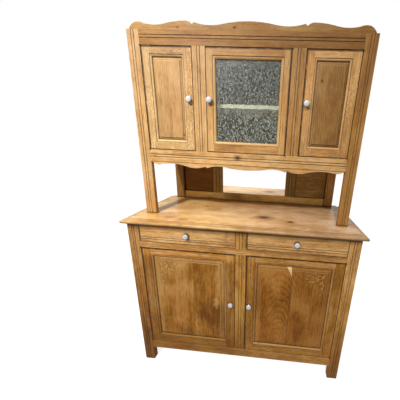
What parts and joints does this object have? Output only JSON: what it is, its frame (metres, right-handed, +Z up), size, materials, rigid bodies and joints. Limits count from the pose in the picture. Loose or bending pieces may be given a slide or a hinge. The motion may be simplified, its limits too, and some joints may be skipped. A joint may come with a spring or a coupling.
{
  "type": "step back cupboard",
  "caption": "Oak step back cupboard: low case with panelled doors and drawers under a moulded counter, set-back upper case on posts with a glazed door and a mirrored niche.",
  "frame": {"origin": "on the floor, under the middle of the bounding box", "axes": "+X to the viewer's right facing the doors, +Y from front to back, +Z up"},
  "size_m": [1.24, 0.525, 1.852],
  "materials": {
    "oak": "waxed golden oak",
    "door_oak": "waxed brown oak",
    "inner_oak": "bare oak",
    "porcelain": "white glaze",
    "hinge_brass": "aged brass",
    "mirror": "silvered glass",
    "obscure_glass": "hammered obscure glass"
  },
  "bodies": {
    "carcass": {"front_legs": "oak", "rear_legs": "oak", "plinth_rail": "oak", "waist_rail": "oak", "centre_stiles": "oak", "lower_side_rails": "oak", "lower_side_panels": "oak", "lower_back_frame": "inner_oak", "lower_back_panels": "inner_oak", "lower_floor": "inner_oak", "lower_shelf": "inner_oak", "shelf_cleats": "inner_oak", "drawer_runners": "inner_oak", "countertop": "oak", "upper_front_posts": "oak", "upper_rear_posts": "oak", "top_rail": "oak", "breast_rail": "oak", "mullions": "oak", "crest": "oak", "apron": "oak", "upper_floor": "inner_oak", "upper_roof": "inner_oak", "upper_shelf": "inner_oak", "upper_side_rails": "oak", "upper_side_panels": "oak", "niche_rails": "oak", "niche_stiles": "oak", "niche_panels": "oak", "mirror": "mirror", "upper_back_boards": "inner_oak", "hinge_fixed_leaves": "hinge_brass"},
    "lower_left_door": {"lower_left_door_frame": "door_oak", "lower_left_door_panel": "door_oak", "lower_left_door_knob": "porcelain", "lower_left_door_hinges": "hinge_brass"},
    "lower_right_door": {"lower_right_door_frame": "door_oak", "lower_right_door_panel": "door_oak", "lower_right_door_knob": "porcelain", "lower_right_door_hinges": "hinge_brass"},
    "upper_left_door": {"upper_left_door_frame": "oak", "upper_left_door_panel": "oak", "upper_left_door_knob": "porcelain", "upper_left_door_hinges": "hinge_brass"},
    "upper_right_door": {"upper_right_door_frame": "oak", "upper_right_door_panel": "oak", "upper_right_door_knob": "porcelain", "upper_right_door_hinges": "hinge_brass"},
    "glazed_door": {"glazed_door_frame": "oak", "glazed_door_glass": "obscure_glass", "glass_beads": "oak", "glazed_door_knob": "porcelain", "glazed_door_hinges": "hinge_brass"},
    "left_drawer": {"left_drawer_front": "oak", "left_drawer_box": "inner_oak", "left_drawer_knob": "porcelain"},
    "right_drawer": {"right_drawer_front": "oak", "right_drawer_box": "inner_oak", "right_drawer_knob": "porcelain"}
  },
  "joints": [
    {"name": "lower_left_door_hinge", "type": "hinge", "parent": "carcass", "child": "lower_left_door", "pos_m": [-0.5395, -0.238, 0.475], "axis": [0, 0, -1], "range_deg": [0, 110]},
    {"name": "lower_right_door_hinge", "type": "hinge", "parent": "carcass", "child": "lower_right_door", "pos_m": [0.5395, -0.238, 0.475], "axis": [0, 0, 1], "range_deg": [0, 110]},
    {"name": "upper_left_door_hinge", "type": "hinge", "parent": "carcass", "child": "upper_left_door", "pos_m": [-0.4945, -0.137, 1.53], "axis": [0, 0, -1], "range_deg": [0, 110]},
    {"name": "glazed_door_hinge", "type": "hinge", "parent": "carcass", "child": "glazed_door", "pos_m": [0.194, -0.137, 1.53], "axis": [0, 0, 1], "range_deg": [0, 110]},
    {"name": "upper_right_door_hinge", "type": "hinge", "parent": "carcass", "child": "upper_right_door", "pos_m": [0.4945, -0.137, 1.53], "axis": [0, 0, 1], "range_deg": [0, 110]},
    {"name": "left_drawer_slide", "type": "slide", "parent": "carcass", "child": "left_drawer", "axis": [0, -1, 0], "range_m": [0, 0.3]},
    {"name": "right_drawer_slide", "type": "slide", "parent": "carcass", "child": "right_drawer", "axis": [0, -1, 0], "range_m": [0, 0.3]}
  ]
}
